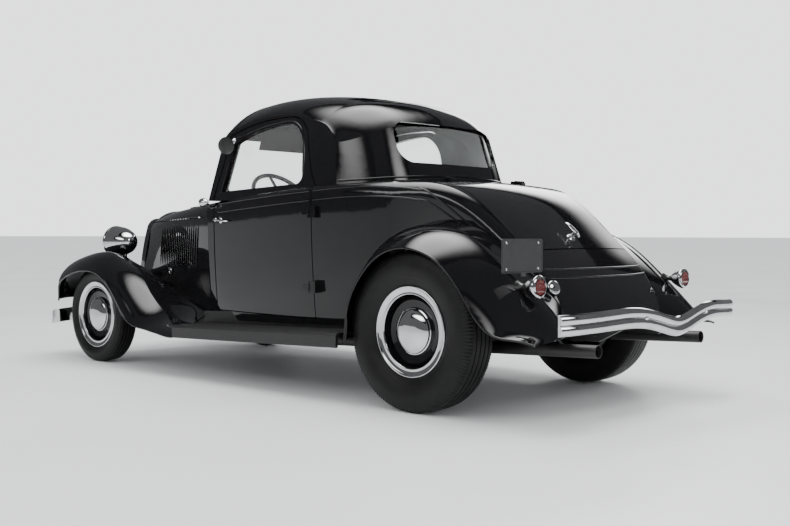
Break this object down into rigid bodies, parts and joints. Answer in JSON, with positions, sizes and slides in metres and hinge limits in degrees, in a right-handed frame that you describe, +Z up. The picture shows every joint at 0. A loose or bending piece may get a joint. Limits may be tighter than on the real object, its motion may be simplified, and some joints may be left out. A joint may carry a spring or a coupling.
{
  "type": "coupe",
  "caption": "Black 1930s three-window coupe with open fenders, rear-hinged doors, large rear tyres and chrome bumpers.",
  "frame": {"origin": "on the ground under the middle of the bumper-to-bumper box", "axes": "+X forward, +Y to the car's left, +Z up"},
  "size_m": [4.4702, 1.7246, 1.654],
  "materials": {
    "paint": "gloss",
    "chrome": "polished",
    "wheel_steel": "gloss",
    "rubber": "matte",
    "glass": "clear",
    "red_lens": "clear",
    "frame_steel": "satin",
    "board": "matte",
    "leather": "satin",
    "dash": "satin",
    "wheel_rim": "gloss",
    "plate": "satin"
  },
  "bodies": {
    "chassis": {"frame_rails": "frame_steel", "engine_block": "frame_steel", "radiator": "frame_steel", "front_axle": "frame_steel", "rear_axle": "frame_steel", "fuel_tank": "frame_steel", "exhaust_pipes": "frame_steel", "bumper_irons": "frame_steel", "floor_pan": "frame_steel", "body_shell": "paint", "windshield": "glass", "backlight": "glass", "grille_shell": "paint", "grille_bars": "chrome", "hood_strip": "paint", "hood_side_left": "paint", "hood_side_right": "paint", "front_fender_left": "paint", "front_fender_right": "paint", "rear_fender_left": "paint", "rear_fender_right": "paint", "running_board_left": "board", "running_board_right": "board", "headlamps": "chrome", "headlamp_lenses": "glass", "cowl_lamps": "chrome", "tail_lamps": "chrome", "tail_lamp_lenses": "red_lens", "front_bumper": "chrome", "rear_bumper": "chrome", "plate": "plate", "fuel_cap": "chrome", "seat_cushion": "leather", "seat_back": "leather", "dashboard": "dash", "steering_column": "frame_steel"},
    "door_left": {"door_left": "paint", "door_glass_left": "glass", "door_trim_left": "chrome"},
    "door_right": {"door_right": "paint", "door_glass_right": "glass", "door_trim_right": "chrome"},
    "deck_lid": {"deck_lid": "paint", "deck_handle": "chrome"},
    "hood_top_left": {"hood_top_left": "paint"},
    "hood_top_right": {"hood_top_right": "paint"},
    "knuckle_left": {"knuckle_left": "frame_steel"},
    "knuckle_right": {"knuckle_right": "frame_steel"},
    "wheel_front_left": {"wheel_front_left": "wheel_steel", "tyre_front_left": "rubber"},
    "wheel_front_right": {"wheel_front_right": "wheel_steel", "tyre_front_right": "rubber"},
    "wheel_rear_left": {"wheel_rear_left": "wheel_steel", "tyre_rear_left": "rubber"},
    "wheel_rear_right": {"wheel_rear_right": "wheel_steel", "tyre_rear_right": "rubber"},
    "steering_wheel": {"steering_wheel": "wheel_rim"}
  },
  "joints": [
    {"name": "steer_left", "type": "hinge", "parent": "chassis", "child": "knuckle_left", "pos_m": [1.585, 0.605, 0.312], "axis": [0, 0, 1], "range_deg": [-28, 28]},
    {"name": "spin_front_left", "type": "hinge", "parent": "knuckle_left", "child": "wheel_front_left", "pos_m": [1.585, 0.697, 0.312], "axis": [0, 1, 0], "continuous": true},
    {"name": "spin_rear_left", "type": "hinge", "parent": "chassis", "child": "wheel_rear_left", "pos_m": [-1.26, 0.72, 0.385], "axis": [0, 1, 0], "continuous": true},
    {"name": "door_left_swing", "type": "hinge", "parent": "chassis", "child": "door_left", "pos_m": [-0.448, 0.698, 0.75], "axis": [0, 0, 1], "range_deg": [0, 65]},
    {"name": "hood_top_left_lift", "type": "hinge", "parent": "chassis", "child": "hood_top_left", "pos_m": [0.53, 0.019, 1.108], "axis": [0.9968, 0, -0.0805], "range_deg": [0, 50]},
    {"name": "steer_right", "type": "hinge", "parent": "chassis", "child": "knuckle_right", "pos_m": [1.585, -0.605, 0.312], "axis": [0, 0, 1], "range_deg": [-28, 28]},
    {"name": "spin_front_right", "type": "hinge", "parent": "knuckle_right", "child": "wheel_front_right", "pos_m": [1.585, -0.697, 0.312], "axis": [0, 1, 0], "continuous": true},
    {"name": "spin_rear_right", "type": "hinge", "parent": "chassis", "child": "wheel_rear_right", "pos_m": [-1.26, -0.72, 0.385], "axis": [0, 1, 0], "continuous": true},
    {"name": "door_right_swing", "type": "hinge", "parent": "chassis", "child": "door_right", "pos_m": [-0.448, -0.698, 0.75], "axis": [0, 0, -1], "range_deg": [0, 65]},
    {"name": "hood_top_right_lift", "type": "hinge", "parent": "chassis", "child": "hood_top_right", "pos_m": [0.53, -0.019, 1.108], "axis": [-0.9968, 0, 0.0805], "range_deg": [0, 50]},
    {"name": "deck_lid_lift", "type": "hinge", "parent": "chassis", "child": "deck_lid", "pos_m": [-1.08676, 0, 1.13617], "axis": [0, 1, 0], "range_deg": [0, 55]},
    {"name": "steering_wheel_turn", "type": "hinge", "parent": "chassis", "child": "steering_wheel", "pos_m": [0.149, 0.36, 1.041], "axis": [-0.766, 0, 0.6428], "range_deg": [-280, 280]}
  ],
  "couplings": [
    {"joint": "steer_right", "follows": "steer_left", "ratio": 1},
    {"joint": "steering_wheel_turn", "follows": "steer_left", "ratio": 10}
  ]
}
